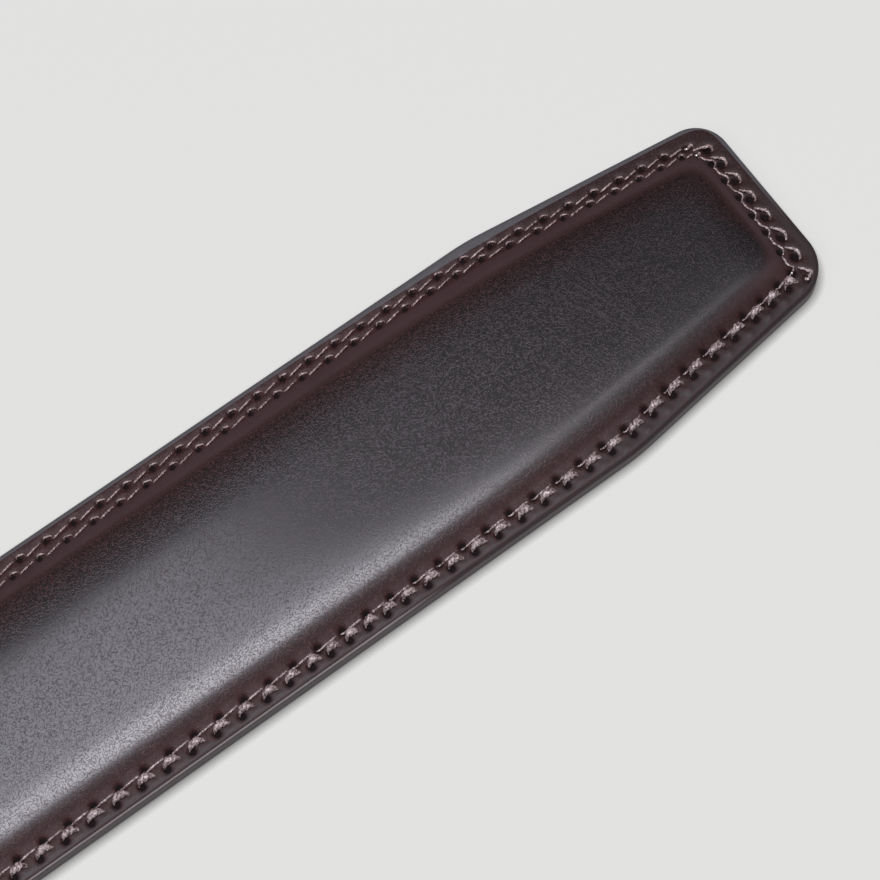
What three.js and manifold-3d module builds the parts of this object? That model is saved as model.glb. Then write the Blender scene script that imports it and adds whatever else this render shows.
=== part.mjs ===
// A ratchet belt lying straight and face up, in millimetres with +Z up.
// The strap's tip is at +X and its buckle at -X. The origin is under the middle of the whole belt.
import * as THREE from 'three';
import { mergeVertices } from 'three/addons/utils/BufferGeometryUtils.js';
import Module from 'manifold-3d';

// The strap seen from above; the tip is cut a little out of square, with a rounder near corner
const strapWidth = 35;
const strapLength = 1200;
const tipWidth = 26.2;
const taperLength = 34.7;
const tipSetback = 0.8;
const farTipRadius = 4.5;
const nearTipRadius = 5.9;
const taperBlendRadius = 37;
const cutEndRadius = 1.5;
const sharpestRadius = 0.4;

// The strap's layers, from the underside up
const backingThickness = 2.1;
const marginThickness = 1;
const crownRise = 1.9;
const edgeChamfer = 0.25;
const shoulderRadius = 0.6;
const crownFoot = 3.4;
const crownFlatAtTip = 1;

// The ratchet track let into the backing
const trackFromTip = 45;
const trackWidth = 10;
const trackBase = 1;
const trackTongue = 3;
const toothPitch = 6;
const toothCount = 45;

// The buckle
const jawDepth = 14;
const jawPlate = 1.2;
const clampWall = 2.5;
const pawlWindow = 21;
const pawlLength = 7;
const pawlFloor = 2.5;
const pawlCrest = 0.8;
const crossBar = 4;
const cheekThickness = 2.4;
const facePlate = 2;
const tailClearance = 0.5;
const sideClearance = 0.4;
const buckleCornerRadius = 3;
const buckleEdgeRound = 0.8;

// The gap that a loose piece keeps to the piece that holds it
const seatClearance = 0.3;
// How far a cutting solid runs past the face that it cuts
const cutOverrun = 1;

// Sizes that follow from those
const marginHeight = backingThickness + marginThickness;
const strapHeight = marginHeight + crownRise;
const buckleBeyondStrap = seatClearance + clampWall + pawlWindow + crossBar;
const wholeLength = strapLength + buckleBeyondStrap;
const tipX = wholeLength / 2;
const strapEndX = tipX - strapLength;
const trackLength = toothCount * toothPitch + 2 * trackTongue;
const crownTopInset = tipWidth / 2 - crownFlatAtTip;

// The crown's section: how far in from its foot, and how far up, as shares of its reach and rise
const crownSection = [
  { inward: 0.12, upward: 0.25 },
  { inward: 0.24, upward: 0.47 },
  { inward: 0.36, upward: 0.62 },
  { inward: 0.58, upward: 0.8 },
  { inward: 0.8, upward: 0.93 },
  { inward: 1, upward: 1 },
];

// One tooth of the track, as shares of its pitch and depth; the steep side faces the buckle
const toothSection = [
  { along: 0, deep: 0 },
  { along: 0.05, deep: 1 },
  { along: 0.25, deep: 1 },
  { along: 0.8, deep: 0 },
];

const wasm = await Module();
wasm.setup();

// Corner points of the strap's plan, anticlockwise, from its cut end at endX round the tip
function strapCorners(endX) {
  const taperX = tipX - taperLength;
  return [
    { x: endX, y: -strapWidth / 2, radius: cutEndRadius, steps: 2 },
    { x: taperX, y: -strapWidth / 2, radius: taperBlendRadius, steps: 4 },
    { x: tipX - tipSetback, y: -tipWidth / 2, radius: nearTipRadius, steps: 6 },
    { x: tipX, y: tipWidth / 2, radius: farTipRadius, steps: 6 },
    { x: taperX, y: strapWidth / 2, radius: taperBlendRadius, steps: 4 },
    { x: endX, y: strapWidth / 2, radius: cutEndRadius, steps: 2 },
  ];
}

// The arc that rounds one corner between two straight sides
function roundedCorner(corner, before, after, radius, steps) {
  const turn = Math.atan2(before.cross(after), before.dot(after));
  const start = corner.clone().addScaledVector(before, -radius * Math.tan(turn / 2));
  const inward = new THREE.Vector2(-before.y, before.x);
  const centre = start.clone().addScaledVector(inward, radius);
  const points = [];
  for (let step = 0; step <= steps; step += 1) {
    points.push(start.clone().rotateAround(centre, (turn * step) / steps));
  }
  return points;
}

// The plan moved inwards by one distance all round, with as many points at every inset
function insetOutline(corners, inset) {
  const sides = corners.map((corner, i) => {
    const next = corners[(i + 1) % corners.length];
    const along = new THREE.Vector2(next.x - corner.x, next.y - corner.y).normalize();
    const inward = new THREE.Vector2(-along.y, along.x);
    return { along, start: new THREE.Vector2(corner.x, corner.y).addScaledVector(inward, inset) };
  });
  return corners.flatMap((corner, i) => {
    const before = sides[(i + corners.length - 1) % corners.length];
    const after = sides[i];
    const apart = after.start.clone().sub(before.start);
    const reach = apart.cross(after.along) / before.along.cross(after.along);
    const point = before.start.clone().addScaledVector(before.along, reach);
    const radius = Math.max(corner.radius - inset, sharpestRadius);
    return roundedCorner(point, before.along, after.along, radius, corner.steps);
  });
}

// A closed solid through the plan's insets, one row of points for each height
function loft(corners, rows) {
  const rings = rows.map((row) => insetOutline(corners, row.inset));
  const count = rings[0].length;
  const last = (rows.length - 1) * count;
  const positions = rings.flatMap((ring, row) => ring.flatMap((p) => [p.x, p.y, rows[row].z]));
  const index = [];
  for (let row = 0; row < rows.length - 1; row += 1) {
    for (let i = 0; i < count; i += 1) {
      const a = row * count + i;
      const b = row * count + ((i + 1) % count);
      index.push(a, b, b + count, a, b + count, a + count);
    }
  }
  for (const [a, b, c] of THREE.ShapeUtils.triangulateShape(rings[0], [])) {
    index.push(a, c, b);
  }
  for (const [a, b, c] of THREE.ShapeUtils.triangulateShape(rings.at(-1), [])) {
    index.push(last + a, last + b, last + c);
  }
  const geometry = new THREE.BufferGeometry();
  geometry.setAttribute('position', new THREE.Float32BufferAttribute(positions, 3));
  geometry.setIndex(index);
  return geometry;
}

function toSolid(geometry) {
  const bare = geometry.clone();
  bare.deleteAttribute('normal');
  bare.deleteAttribute('uv');
  const merged = mergeVertices(bare);
  return new wasm.Manifold(new wasm.Mesh({
    numProp: 3,
    vertProperties: Float32Array.from(merged.attributes.position.array),
    triVerts: Uint32Array.from(merged.index.array),
  }));
}

function toGeometry(solid) {
  const mesh = solid.getMesh();
  const geometry = new THREE.BufferGeometry();
  geometry.setAttribute('position', new THREE.BufferAttribute(mesh.vertProperties, 3));
  geometry.setIndex(new THREE.BufferAttribute(mesh.triVerts, 1));
  return geometry;
}

// A box between two X, two Z and the same distance either side of the middle
function block(lowX, highX, halfWidth, lowZ, highZ) {
  const geometry = new THREE.BoxGeometry(highX - lowX, 2 * halfWidth, highZ - lowZ);
  return geometry.translate((lowX + highX) / 2, 0, (lowZ + highZ) / 2);
}

// A section drawn in X and Z, drawn out to the same distance either side of the middle
function bar(points, halfWidth) {
  const shape = new THREE.Shape(points.map(([x, z]) => new THREE.Vector2(x, z)));
  const geometry = new THREE.ExtrudeGeometry(shape, { depth: 2 * halfWidth, bevelEnabled: false });
  return geometry.rotateX(Math.PI / 2).translate(0, halfWidth, 0);
}

// Outer leather: a chamfer at the seam, a rounded shoulder, a flat margin and the crown
function strapFace() {
  const shoulder = Math.min(shoulderRadius, 0.8 * (marginThickness - edgeChamfer));
  const shoulderSteps = 3;
  const rows = [
    { inset: edgeChamfer, z: backingThickness },
    { inset: 0, z: backingThickness + edgeChamfer },
  ];
  for (let step = 0; step <= shoulderSteps; step += 1) {
    const angle = (Math.PI / 2) * (step / shoulderSteps);
    rows.push({
      inset: shoulder * (1 - Math.cos(angle)),
      z: marginHeight - shoulder * (1 - Math.sin(angle)),
    });
  }
  rows.push({ inset: crownFoot, z: marginHeight });
  for (const { inward, upward } of crownSection) {
    rows.push({
      inset: crownFoot + (crownTopInset - crownFoot) * inward,
      z: marginHeight + crownRise * upward,
    });
  }
  return loft(strapCorners(strapEndX), rows);
}

// Backing leather: cut short where the buckle's jaw takes its place, with a slot for the track
function strapBacking() {
  const rows = [
    { inset: edgeChamfer, z: 0 },
    { inset: 0, z: edgeChamfer },
    { inset: 0, z: backingThickness - edgeChamfer },
    { inset: edgeChamfer, z: backingThickness },
  ];
  const layer = loft(strapCorners(strapEndX + jawDepth + seatClearance), rows);
  const slot = block(
    tipX - trackFromTip - trackLength - seatClearance,
    tipX - trackFromTip + seatClearance,
    trackWidth / 2 + seatClearance,
    -cutOverrun,
    backingThickness + cutOverrun,
  );
  return toGeometry(toSolid(layer).subtract(toSolid(slot)));
}

// Track: a strip with a row of teeth below it, flush with the backing's underside
function ratchetTrack() {
  const startX = tipX - trackFromTip - trackLength;
  const rootZ = backingThickness - trackBase;
  const points = [[startX, backingThickness], [startX, rootZ]];
  for (let tooth = 0; tooth < toothCount; tooth += 1) {
    const toothX = startX + trackTongue + tooth * toothPitch;
    for (const { along, deep } of toothSection) {
      points.push([toothX + along * toothPitch, rootZ * (1 - deep)]);
    }
  }
  points.push([startX + trackLength, rootZ], [startX + trackLength, backingThickness]);
  return bar(points, trackWidth / 2);
}

// Buckle: one casting that holds the strap's cut end below and lets its tip through above
function buckle() {
  const innerHalf = strapWidth / 2 + sideClearance;
  const outerHalf = innerHalf + cheekThickness;
  const mouthX = strapEndX + jawDepth;
  const wallX = strapEndX - seatClearance;
  const windowX = wallX - clampWall;
  const barX = windowX - pawlWindow;
  const backX = barX - crossBar;
  const pocketTop = strapHeight + seatClearance;
  const channelFloor = pocketTop + jawPlate;
  const channelTop = channelFloor + strapHeight + tailClearance;
  const topZ = channelTop + facePlate;

  const body = toSolid(buckleBody(backX, mouthX, outerHalf, topZ));
  const pocket = block(wallX, mouthX + cutOverrun, innerHalf, backingThickness - seatClearance, pocketTop);
  const channel = block(backX - cutOverrun, mouthX + cutOverrun, innerHalf, channelFloor, channelTop);
  const window = block(barX, windowX, innerHalf, -cutOverrun, channelFloor + cutOverrun);

  const pawlX = (barX + windowX + pawlLength) / 2;
  const pawl = bar([
    [pawlX - pawlLength, pawlFloor],
    [pawlX, pawlFloor],
    [pawlX, channelFloor],
    [pawlX - pawlCrest, channelFloor],
    [pawlX - pawlLength, (pawlFloor + channelFloor) / 2],
  ], innerHalf + cheekThickness / 2);

  const frame = body.subtract(toSolid(pocket)).subtract(toSolid(channel)).subtract(toSolid(window));
  return toGeometry(frame.add(toSolid(pawl)));
}

// The buckle's outside: a rounded rectangle with eased upper and lower edges
function buckleBody(lowX, highX, halfWidth, height) {
  const radius = buckleCornerRadius;
  const shape = new THREE.Shape();
  shape.absarc(highX - radius, -halfWidth + radius, radius, -Math.PI / 2, 0);
  shape.absarc(highX - radius, halfWidth - radius, radius, 0, Math.PI / 2);
  shape.absarc(lowX + radius, halfWidth - radius, radius, Math.PI / 2, Math.PI);
  shape.absarc(lowX + radius, -halfWidth + radius, radius, Math.PI, 1.5 * Math.PI);
  const geometry = new THREE.ExtrudeGeometry(shape, {
    depth: height - 2 * buckleEdgeRound,
    curveSegments: 5,
    bevelThickness: buckleEdgeRound,
    bevelSize: buckleEdgeRound,
    bevelOffset: -buckleEdgeRound,
    bevelSegments: 3,
  });
  return geometry.translate(0, 0, buckleEdgeRound);
}

function piece(name, geometry, look) {
  const mesh = new THREE.Mesh(geometry, new THREE.MeshStandardMaterial({ ...look, flatShading: true }));
  mesh.name = name;
  return mesh;
}

const belt = new THREE.Group();
belt.add(
  piece('strap_face', strapFace(), { color: 0x3c3034, roughness: 0.45, metalness: 0 }),
  piece('strap_backing', strapBacking(), { color: 0x2c2527, roughness: 0.6, metalness: 0 }),
  piece('ratchet_track', ratchetTrack(), { color: 0x1c1b1c, roughness: 0.5, metalness: 0 }),
  piece('buckle', buckle(), { color: 0x77777c, roughness: 0.35, metalness: 1 }),
);

export default belt;
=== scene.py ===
"""A dark brown leather ratchet belt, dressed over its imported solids.

Lengths are millimetres until a mesh is made. Plan x runs along the strap and is 0 at the far corner
of its tip, so the whole strap lies at negative plan x. Plan y runs across it, and z up.
The studio is in metres.
"""
import math
from collections import namedtuple

import bpy
import numpy as np
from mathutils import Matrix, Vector
from mathutils.geometry import tessellate_polygon
from mathutils.kdtree import KDTree


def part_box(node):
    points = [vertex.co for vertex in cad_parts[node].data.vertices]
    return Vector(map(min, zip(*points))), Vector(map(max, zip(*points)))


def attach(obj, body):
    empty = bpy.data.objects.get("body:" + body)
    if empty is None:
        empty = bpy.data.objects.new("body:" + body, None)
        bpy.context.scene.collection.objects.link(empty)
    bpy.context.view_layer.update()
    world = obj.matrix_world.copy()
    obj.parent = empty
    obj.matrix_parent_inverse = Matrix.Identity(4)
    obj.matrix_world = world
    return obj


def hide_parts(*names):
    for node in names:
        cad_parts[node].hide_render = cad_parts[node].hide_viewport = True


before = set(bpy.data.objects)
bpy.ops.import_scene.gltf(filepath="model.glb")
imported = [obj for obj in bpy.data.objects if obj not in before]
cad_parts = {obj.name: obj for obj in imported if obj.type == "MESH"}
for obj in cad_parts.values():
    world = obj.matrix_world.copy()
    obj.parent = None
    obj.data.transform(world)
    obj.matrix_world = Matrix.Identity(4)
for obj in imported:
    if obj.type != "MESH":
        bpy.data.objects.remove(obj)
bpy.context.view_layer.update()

MM = 0.001


def box_mm(node):
    """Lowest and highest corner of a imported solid, in millimetres."""
    low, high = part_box(node)
    return np.array(low) / MM, np.array(high) / MM


FACE_LOW, FACE_HIGH = box_mm("strap_face")
BACKING_LOW, BACKING_HIGH = box_mm("strap_backing")
TRACK_LOW, TRACK_HIGH = box_mm("ratchet_track")

# The strap seen from above; its rounded tip stops a little short of the plan's far corner
TIP_ROUNDED_OFF = 0.125
TIP_X = FACE_HIGH[0] + TIP_ROUNDED_OFF
HALF_WIDTH = FACE_HIGH[1]
TIP_HALF_WIDTH = 13.1
TAPER_LENGTH = 34.7
TIP_SETBACK = 0.8
CUT_END_RADIUS = 1.5
TAPER_RADIUS = 37
NEAR_TIP_RADIUS = 5.9
FAR_TIP_RADIUS = 4.5
SHARPEST_RADIUS = 0.4

# The layers, from the underside up
SEAM_HEIGHT = BACKING_HIGH[2]
MARGIN_THICKNESS = 1
MARGIN_HEIGHT = SEAM_HEIGHT + MARGIN_THICKNESS
CROWN_RISE = FACE_HIGH[2] - MARGIN_HEIGHT
SHOULDER_RADIUS = 0.6
CROWN_FOOT = 3.4
CROWN_STEEPNESS = 6.9
CROWN_REACH = 20
FOOT_ROUNDING = 0.25
CORNER_ROUNDING = 1.2
MARGIN_SLOPE = 0.05

# Inset and height of the rings up the face's foot and up the backing's painted edge. The height counts from
# the seam, or from the floor for the backing's lower rings.
FACE_UNDER_EDGE = [(0.45, 0.0), (0.16, 0.03), (0.03, 0.17)]
BACKING_LOWER_EDGE = [(0.5, 0.0), (0.2, 0.05), (0.06, 0.17), (0.0, 0.4)]
BACKING_UPPER_EDGE = [(0.0, -0.32), (0.0, -0.14), (0.03, -0.05), (0.1, -0.01), (0.2, 0.0)]
SHOULDER_STEP_DEGREES = 15
TRACK_GAP = 0.3

# The stretch next to the tip that has every stitch hole sunk in its mesh
DETAIL_REACH = 132
DETAIL_STEP = 0.25
PLAIN_STEP = 3.0
RING_STEP = 0.2
MARGIN_RINGS_END = 5.0
CROWN_RING_INSETS = [5.6, 6.3, 7.1, 8.0, 9.0]

# How finely the plan is cut: steps in its corners' arcs, then parts of its sides. The crown's rings have
# one point for every GATHER of the margin's.
GATHER = 3
CUT_END_STEPS = 6
TAPER_STEPS = 18
TIP_STEPS = 30
FACE_TAPER_PARTS = 135
FACE_TIP_PARTS = 63
FACE_CUT_END_PARTS = 87
BACKING_LONG_PARTS = 240
BACKING_TAPER_PARTS = 36
BACKING_END_PARTS = 24

# Stitch holes and what the thread does to the leather round them
HOLE_DEPTH = 0.7
HOLE_STEEPNESS = 4
GROOVE_DEPTH = 0.12
GROOVE_RADIUS = 0.42
PUCKER_HEIGHT = 0.13
PUCKER_RADIUS = 0.55
PUCKER_OFFSET = 0.95

# Cups of painted shade at the holes of the plain stretch: share of the hole's radius and height over the
# leather
CUP_RINGS = [(1.15, -0.05), (1.0, 0.03), (0.4, 0.01)]
CUP_SPOKES = 8

# The strip without grain inside the rows, as insets, and where it fades out towards the near side
CALM_START = 2.9
CALM_RISE = 0.6
CALM_END = 6.0
CALM_FALL = 1.0
CALM_NEAR_Y = -8
CALM_NEAR_FADE = 3
CALM_NEAR_LOSS = 0.85

# The thread
THREAD_LOBE = 0.16
THREAD_PLIES = 3
THREAD_TWIST = 2.4
THREAD_STEP = 0.12
FINE_THREAD_SIDES = 12
PLAIN_THREAD_SIDES = 6
# Height and size of the pale painted glints down in the corner holes
GLINT_HEIGHT = -0.15
GLINT_RADIUS = 0.15
SEAM_END_GAP = 4

# The camera, from the strap's outline in the photograph
CAMERA_AZIMUTH = -37.0
CAMERA_ELEVATION = 66.94
CAMERA_DISTANCE = 402.3
CAMERA_LENS = 135.38
CAMERA_SENSOR = 36
CAMERA_CLIP_START = 0.01
CAMERA_AIM = (-52.64, -1.14, 0.0)

Corner = namedtuple("Corner", "x y radius steps")
Panel = namedtuple("Panel", "name place turn length width radiance colour")
Row = namedtuple("Row", "side first runs insets wave thread_radius hole_radius")
Bend = namedtuple("Bend", "along across up girth")


def make_camera():
    """The camera at the photograph's place, looking at the strap near its tip."""
    azimuth = math.radians(CAMERA_AZIMUTH)
    elevation = math.radians(CAMERA_ELEVATION)
    level = math.cos(elevation)
    back = Vector((math.sin(azimuth) * level, -math.cos(azimuth) * level, math.sin(elevation)))
    aim = Vector((TIP_X + CAMERA_AIM[0], CAMERA_AIM[1], CAMERA_AIM[2])) * MM
    data = bpy.data.cameras.new("camera")
    data.lens = CAMERA_LENS
    data.sensor_width = CAMERA_SENSOR
    data.clip_start = CAMERA_CLIP_START
    camera = bpy.data.objects.new("camera", data)
    camera.location = aim + back * CAMERA_DISTANCE * MM
    camera.rotation_mode = "QUATERNION"
    camera.rotation_quaternion = (-back).to_track_quat("-Z", "Y")
    bpy.context.scene.collection.objects.link(camera)
    bpy.context.scene.camera = camera


# The strap's plan

def strap_corners(end_x):
    """Corners of the plan, anticlockwise from the near corner of a cut end."""
    taper_x = -TAPER_LENGTH
    return [
        Corner(end_x, -HALF_WIDTH, CUT_END_RADIUS, CUT_END_STEPS),
        Corner(taper_x, -HALF_WIDTH, TAPER_RADIUS, TAPER_STEPS),
        Corner(-TIP_SETBACK, -TIP_HALF_WIDTH, NEAR_TIP_RADIUS, TIP_STEPS),
        Corner(0, TIP_HALF_WIDTH, FAR_TIP_RADIUS, TIP_STEPS),
        Corner(taper_x, HALF_WIDTH, TAPER_RADIUS, TAPER_STEPS),
        Corner(end_x, HALF_WIDTH, CUT_END_RADIUS, CUT_END_STEPS),
    ]


def plan_sides(corners):
    """Start, direction along and direction inwards of each straight side."""
    starts = np.array([(corner.x, corner.y) for corner in corners], float)
    along = np.roll(starts, -1, axis=0) - starts
    along /= np.linalg.norm(along, axis=1, keepdims=True)
    inward = np.column_stack([-along[:, 1], along[:, 0]])
    return starts, along, inward


def cross2(a, b):
    return a[0] * b[1] - a[1] * b[0]


def corner_arc(point, before, after, radius, steps):
    """The points of the arc that rounds one corner."""
    turn = math.atan2(cross2(before, after), before @ after)
    start = point - before * radius * math.tan(turn / 2)
    centre = start + radius * np.array([-before[1], before[0]])
    angles = np.linspace(0, turn, steps + 1)
    spoke = start - centre
    turned_x = spoke[0] * np.cos(angles) - spoke[1] * np.sin(angles)
    turned_y = spoke[0] * np.sin(angles) + spoke[1] * np.cos(angles)
    return centre + np.column_stack([turned_x, turned_y])


def outline(corners, side_shares, inset):
    """The plan moved inwards by inset, with as many points at every inset."""
    starts, along, inward = plan_sides(corners)
    moved = starts + inset * inward
    arcs = []
    for i, corner in enumerate(corners):
        gap = moved[i] - moved[i - 1]
        reach = cross2(gap, along[i]) / cross2(along[i - 1], along[i])
        point = moved[i - 1] + along[i - 1] * reach
        radius = max(corner.radius - inset, SHARPEST_RADIUS)
        arcs.append(corner_arc(point, along[i - 1], along[i], radius, corner.steps))
    points = []
    for i, arc in enumerate(arcs):
        following = arcs[(i + 1) % len(arcs)][0]
        shares = side_shares[i][:, None]
        points.append(arc)
        points.append(arc[-1] + shares * (following - arc[-1]))
    return np.concatenate(points)


def inner_shares(count):
    """Shares that cut a side into equal parts, without its two ends."""
    return np.arange(1, count) / count


def long_side_shares(end_x):
    """Shares along a long side from the cut end: plain steps first, then the fine ones."""
    length = -TAPER_LENGTH - end_x
    fine = DETAIL_REACH - TAPER_LENGTH
    plain_count = GATHER * round((length - fine) / PLAIN_STEP / GATHER)
    fine_count = GATHER * round(fine / DETAIL_STEP / GATHER)
    plain = np.arange(1, plain_count + 1) / plain_count * (1 - fine / length)
    detailed = 1 - fine / length + np.arange(1, fine_count) / fine_count * fine / length
    return np.concatenate([plain, detailed])


def soft_inset(points, corners):
    """How far in from the edge points lie, with the plan's corners smoothed over."""
    starts, _, inward = plan_sides(corners)
    reach = np.einsum("nsk,sk->ns", points[:, None, :] - starts[None], inward)
    least = reach.min(axis=1)
    spread = np.exp(-(reach - least[:, None]) / CORNER_ROUNDING).sum(axis=1)
    return least - CORNER_ROUNDING * np.log(spread)


# Stitch rows

# The path of the thread from one hole to the next: share of the pitch, millimetres across and up,
# then its girth. Where it dips far below the leather it is hidden.
FAR_WAVE = [
    Bend(0.00, 0.42, 0.06, 1.0),
    Bend(0.08, 0.36, 0.12, 1.05),
    Bend(0.17, 0.25, 0.10, 1.0),
    Bend(0.225, 0.16, -0.08, 0.9),
    Bend(0.24, 0.00, -0.45, 0.8),
    Bend(0.255, -0.20, -0.16, 0.8),
    Bend(0.31, -0.22, 0.05, 0.9),
    Bend(0.45, -0.12, 0.10, 1.0),
    Bend(0.62, 0.03, 0.10, 1.0),
    Bend(0.75, 0.14, 0.04, 0.9),
    Bend(0.80, 0.20, -0.16, 0.8),
    Bend(0.87, 0.28, -0.50, 0.8),
    Bend(0.95, 0.38, -0.40, 0.8),
]
NEAR_WAVE = [
    Bend(0.00, 0.50, -0.22, 0.9),
    Bend(0.05, 0.58, 0.04, 1.2),
    Bend(0.14, 0.66, 0.17, 1.6),
    Bend(0.25, 0.68, 0.20, 1.8),
    Bend(0.36, 0.62, 0.16, 1.6),
    Bend(0.45, 0.46, 0.04, 1.1),
    Bend(0.52, 0.30, -0.20, 0.8),
    Bend(0.60, 0.20, -0.50, 0.6),
    Bend(0.80, 0.20, -0.60, 0.6),
    Bend(0.94, 0.42, -0.50, 0.7),
]
INNER_WAVE = [
    Bend(0.00, -0.10, -0.60, 0.8),
    Bend(0.12, -0.14, -0.40, 0.9),
    Bend(0.25, -0.14, -0.08, 1.0),
    Bend(0.45, -0.10, -0.04, 1.0),
    Bend(0.65, -0.04, -0.10, 1.0),
    Bend(0.80, 0.00, -0.40, 0.8),
]
TIP_OUTER_WAVE = [
    Bend(0.00, 0.66, 0.14, 1.2),
    Bend(0.08, 0.64, 0.06, 1.0),
    Bend(0.15, 0.54, -0.20, 0.8),
    Bend(0.25, 0.20, -0.50, 0.7),
    Bend(0.38, -0.20, -0.30, 0.7),
    Bend(0.47, -0.24, -0.02, 0.8),
    Bend(0.57, 0.02, 0.08, 0.9),
    Bend(0.67, 0.28, 0.13, 1.1),
    Bend(0.78, 0.52, 0.17, 1.4),
    Bend(0.89, 0.66, 0.18, 1.4),
]
TIP_INNER_WAVE = [
    Bend(0.00, 0.50, 0.06, 1.0),
    Bend(0.07, 0.44, -0.12, 0.8),
    Bend(0.15, 0.15, -0.45, 0.7),
    Bend(0.22, -0.10, -0.14, 0.8),
    Bend(0.34, -0.08, 0.05, 1.0),
    Bend(0.48, -0.10, 0.08, 1.1),
    Bend(0.62, -0.04, 0.08, 1.1),
    Bend(0.76, 0.24, 0.10, 1.1),
    Bend(0.90, 0.48, 0.10, 1.1),
]

# How deep a thread starts and ends, and how deep it still presses a groove
THREAD_END_DEPTH = -0.6
PRESSING_DEPTH = -0.15

# The side is 1 for the far one and -1 for the near one, and first is plan x of the hole nearest the tip.
# Runs are pitches from there as (pitch, how many), the last one running on to the cut end. Insets say how
# far in the row lies, as (plan x, inset).
ROWS = {
    "far_outer": Row(
        side=1,
        first=-8.0,
        runs=[(3.25, 2), (3.6, 4), (3.88, None)],
        insets=[(-130, 2.0), (-95, 1.85), (-60, 1.65), (-42, 1.95), (-30, 2.35), (0, 2.5)],
        wave=FAR_WAVE,
        thread_radius=0.125,
        hole_radius=0.29,
    ),
    "far_inner": Row(
        side=1,
        first=-6.2,
        runs=[(3.1, 2), (3.55, 2), (3.75, 2), (3.875, None)],
        insets=[(-130, 3.45), (-95, 3.3), (-60, 3.0), (-42, 3.15), (-30, 3.5), (0, 3.7)],
        wave=FAR_WAVE,
        thread_radius=0.12,
        hole_radius=0.29,
    ),
    "near_outer": Row(
        side=-1,
        first=-7.0,
        runs=[(2.9, 2), (3.6, 4), (3.5, 11), (3.3, 1), (2.75, 5), (3.25, 2), (3.56, None)],
        insets=[(-130, 1.28), (-50, 1.32), (-38, 1.7), (-28, 2.2), (0, 2.15)],
        wave=NEAR_WAVE,
        thread_radius=0.28,
        hole_radius=0.40,
    ),
    "near_inner": Row(
        side=-1,
        first=-7.8,
        runs=[(3.0, 2), (3.45, 4), (3.55, None)],
        insets=[(-130, 2.65), (-45, 2.7), (-35, 3.0), (-25, 3.3), (0, 3.2)],
        wave=INNER_WAVE,
        thread_radius=0.13,
        hole_radius=0.42,
    ),
}

# Where the holes of the tip's own short rows lie, and the holes at its corners
TIP_OUTER = [(-2.97, 9.27), (-2.82, 6.58), (-2.9, 3.75), (-3.04, 0.7), (-3.11, -2.42), (-3.33, -5.83),
             (-3.62, -8.88)]
TIP_INNER = [(-3.77, 7.31), (-3.91, 4.48), (-3.99, 1.57), (-4.28, -1.4), (-4.42, -4.23), (-4.78, -7.42)]
TIP_OUTER_RADIUS = 0.17
TIP_INNER_RADIUS = 0.12
TIP_HOLE_RADIUS = 0.42
CORNER_HOLES = {
    "far_outer": (-4.89, 10.93),
    "far_inner": (-4.51, 9.43),
    "near_outer": (-4.18, -12.15),
    "near_inner": (-5.29, -10.36),
}


def side_y(side, x):
    """Plan y of the far (1) or near (-1) edge at plan x."""
    tip_x = 0 if side > 0 else -TIP_SETBACK
    share = np.clip((tip_x - x) / (TAPER_LENGTH + tip_x), 0, 1)
    return side * (TIP_HALF_WIDTH + (HALF_WIDTH - TIP_HALF_WIDTH) * share)


def row_holes(row, end_x):
    """The holes of one row along a long side, from the tip towards the cut end."""
    places = [row.first]
    for pitch, count in row.runs:
        if count is None:
            count = int((places[-1] - end_x) / pitch)
        for _ in range(count):
            places.append(places[-1] - pitch)
    x = np.array(places)
    known_x, known_inset = zip(*row.insets)
    inset = np.interp(x, known_x, known_inset)
    y = side_y(row.side, x) - row.side * inset
    return np.column_stack([x, y])


def wave_points(holes, across, wave, thread_radius):
    """Points of the thread past each hole: plan x, y, height over the leather and radius."""
    points = [(*holes[0], THREAD_END_DEPTH, thread_radius)]
    for here, there in zip(holes[:-1], holes[1:]):
        for bend in wave:
            place = here + (there - here) * bend.along + across * bend.across
            points.append((*place, bend.up, thread_radius * bend.girth))
    points.append((*holes[-1], THREAD_END_DEPTH, thread_radius))
    return np.array(points)


def smooth_path(points, step):
    """A Catmull-Rom curve through points, with a new point about every step."""
    padded = np.concatenate([2 * points[:1] - points[1:2], points, 2 * points[-1:] - points[-2:-1]])
    pieces = []
    for i in range(1, len(padded) - 2):
        p0, p1, p2, p3 = padded[i - 1:i + 3]
        count = max(int(round(np.linalg.norm(p2 - p1) / step)), 1)
        t = (np.arange(count) / count)[:, None]
        pieces.append(0.5 * (2 * p1 + (p2 - p0) * t + (2 * p0 - 5 * p1 + 4 * p2 - p3) * t**2
                             + (3 * p1 - p0 - 3 * p2 + p3) * t**3))
    pieces.append(points[-1:])
    return np.concatenate(pieces)


# Leather heights

def crown_height(inset):
    """How far the padded middle rises over the margin at an inset."""
    past_foot = FOOT_ROUNDING * np.logaddexp(0, (inset - CROWN_FOOT) / FOOT_ROUNDING)
    share = np.clip(past_foot / CROWN_REACH, 0, 1)
    return CROWN_RISE * (1 - (1 - share) ** CROWN_STEEPNESS)


def smooth_height(points, corners):
    """The outer leather's height without its stitch marks."""
    inset = soft_inset(points, corners)
    margin = MARGIN_SLOPE * (np.clip(inset, 0, CROWN_FOOT) - CROWN_FOOT)
    return MARGIN_HEIGHT + margin + crown_height(inset)


def bell(distance, radius):
    return np.exp(-(distance / radius) ** 2)


def tree_of(points):
    """A search tree over plan points."""
    tree = KDTree(len(points))
    for i, point in enumerate(points):
        tree.insert((point[0], point[1], 0), i)
    tree.balance()
    return tree


def nearest(tree, points):
    """Index of and distance to the tree point nearest to each point."""
    found = [tree.find((x, y, 0)) for x, y in points]
    return np.array([index for _, index, _ in found]), np.array([distance for _, _, distance in found])


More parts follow.
